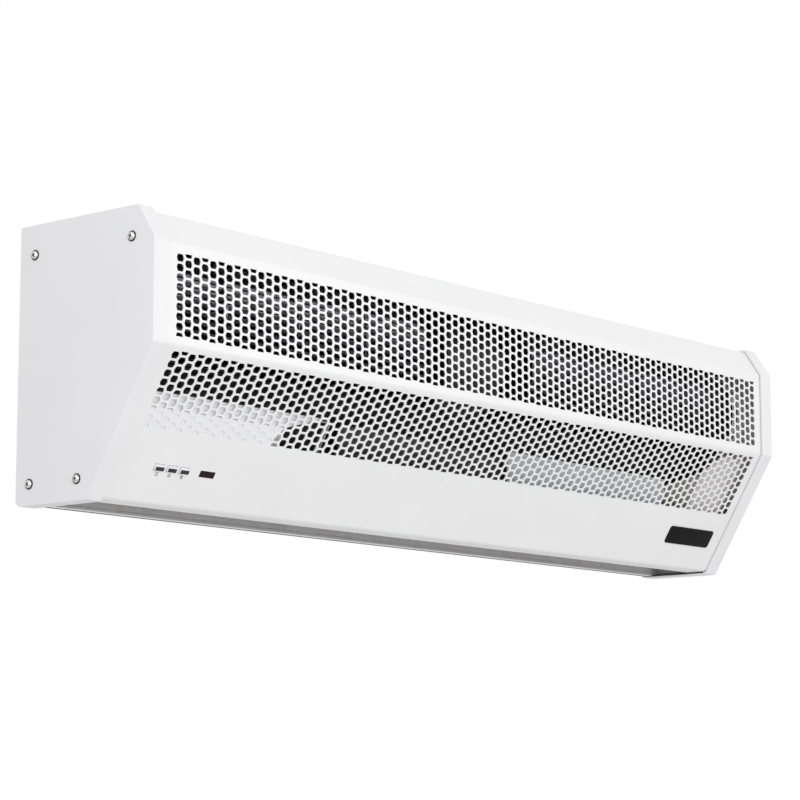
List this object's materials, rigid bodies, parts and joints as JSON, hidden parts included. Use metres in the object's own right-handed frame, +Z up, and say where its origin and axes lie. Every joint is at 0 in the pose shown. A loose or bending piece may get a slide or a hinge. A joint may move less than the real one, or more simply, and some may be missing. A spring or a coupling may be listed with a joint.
{
  "type": "air curtain",
  "caption": "Wall-hung air curtain: folded perforated cover between end caps, cross-flow fan, heater, slanted control face and a downward outlet slot.",
  "frame": {"origin": "middle of the wall rail's four holes, in the plane of the wall", "axes": "+X along the unit to its right as seen from the room, +Y into the wall, +Z up"},
  "size_m": [0.9048, 0.157, 0.2412],
  "materials": {
    "white_coat": "white powder coat on sheet steel",
    "cap_plastic": "white moulded plastic with a fine grain",
    "screw_zinc": "zinc-plated steel",
    "zinc_sheet": "galvanised sheet",
    "dark_coat": "dark coat on sheet steel",
    "motor_paint": "dark painted castings",
    "soft_rubber": "moulded rubber",
    "bearing_steel": "ground steel",
    "blade_metal": "formed aluminium sheet",
    "heater_steel": "annealed stainless tube",
    "box_coat": "pale coated sheet",
    "circuit_board": "solder-masked laminate",
    "black_plastic": "black moulded plastic",
    "window_plastic": "dark infrared-clear plastic",
    "key_plastic": "grey moulded plastic"
  },
  "bodies": {
    "casing": {"back_panel": "white_coat", "cable_gland": "black_plastic", "control_board": "circuit_board", "control_box": "box_coat", "control_box_lid": "box_coat", "end_cap_screws": "screw_zinc", "front_cover": "white_coat", "gland_nut": "black_plastic", "heater_tubes": "heater_steel", "infrared_receiver": "black_plastic", "key_board": "circuit_board", "key_board_posts": "bearing_steel", "key_switches": "black_plastic", "left_bearing": "bearing_steel", "left_bearing_mount": "soft_rubber", "left_end_cap": "cap_plastic", "left_end_plate": "zinc_sheet", "left_heater_bracket": "zinc_sheet", "left_partition": "dark_coat", "motor": "motor_paint", "motor_rings": "soft_rubber", "outlet_guide": "dark_coat", "rear_scroll": "zinc_sheet", "receiver_window": "window_plastic", "right_bearing": "bearing_steel", "right_bearing_mount": "soft_rubber", "right_end_cap": "cap_plastic", "right_end_plate": "zinc_sheet", "right_heater_bracket": "zinc_sheet", "right_partition": "dark_coat", "run_capacitor": "cap_plastic", "terminal_block": "black_plastic", "terminal_box": "box_coat", "terminal_box_lid": "box_coat", "thermal_cutout": "black_plastic", "wall_rail": "zinc_sheet"},
    "fan_rotor": {"left_impeller": "blade_metal", "right_impeller": "blade_metal", "motor_shaft": "bearing_steel", "left_journal": "bearing_steel", "right_journal": "bearing_steel"},
    "power_key": {"power_button": "key_plastic"},
    "speed_key": {"speed_button": "key_plastic"},
    "heat_key": {"heat_button": "key_plastic"}
  },
  "joints": [
    {"name": "fan_spin", "type": "hinge", "parent": "casing", "child": "fan_rotor", "pos_m": [0, -0.08, 0.008], "axis": [1, 0, 0], "continuous": true},
    {"name": "power_press", "type": "slide", "parent": "casing", "child": "power_key", "axis": [0, 0.8535, 0.5211], "range_m": [0, 0.0008], "stiffness_N_per_m": 600},
    {"name": "speed_press", "type": "slide", "parent": "casing", "child": "speed_key", "axis": [0, 0.8535, 0.5211], "range_m": [0, 0.0008], "stiffness_N_per_m": 600},
    {"name": "heat_press", "type": "slide", "parent": "casing", "child": "heat_key", "axis": [0, 0.8535, 0.5211], "range_m": [0, 0.0008], "stiffness_N_per_m": 600}
  ]
}
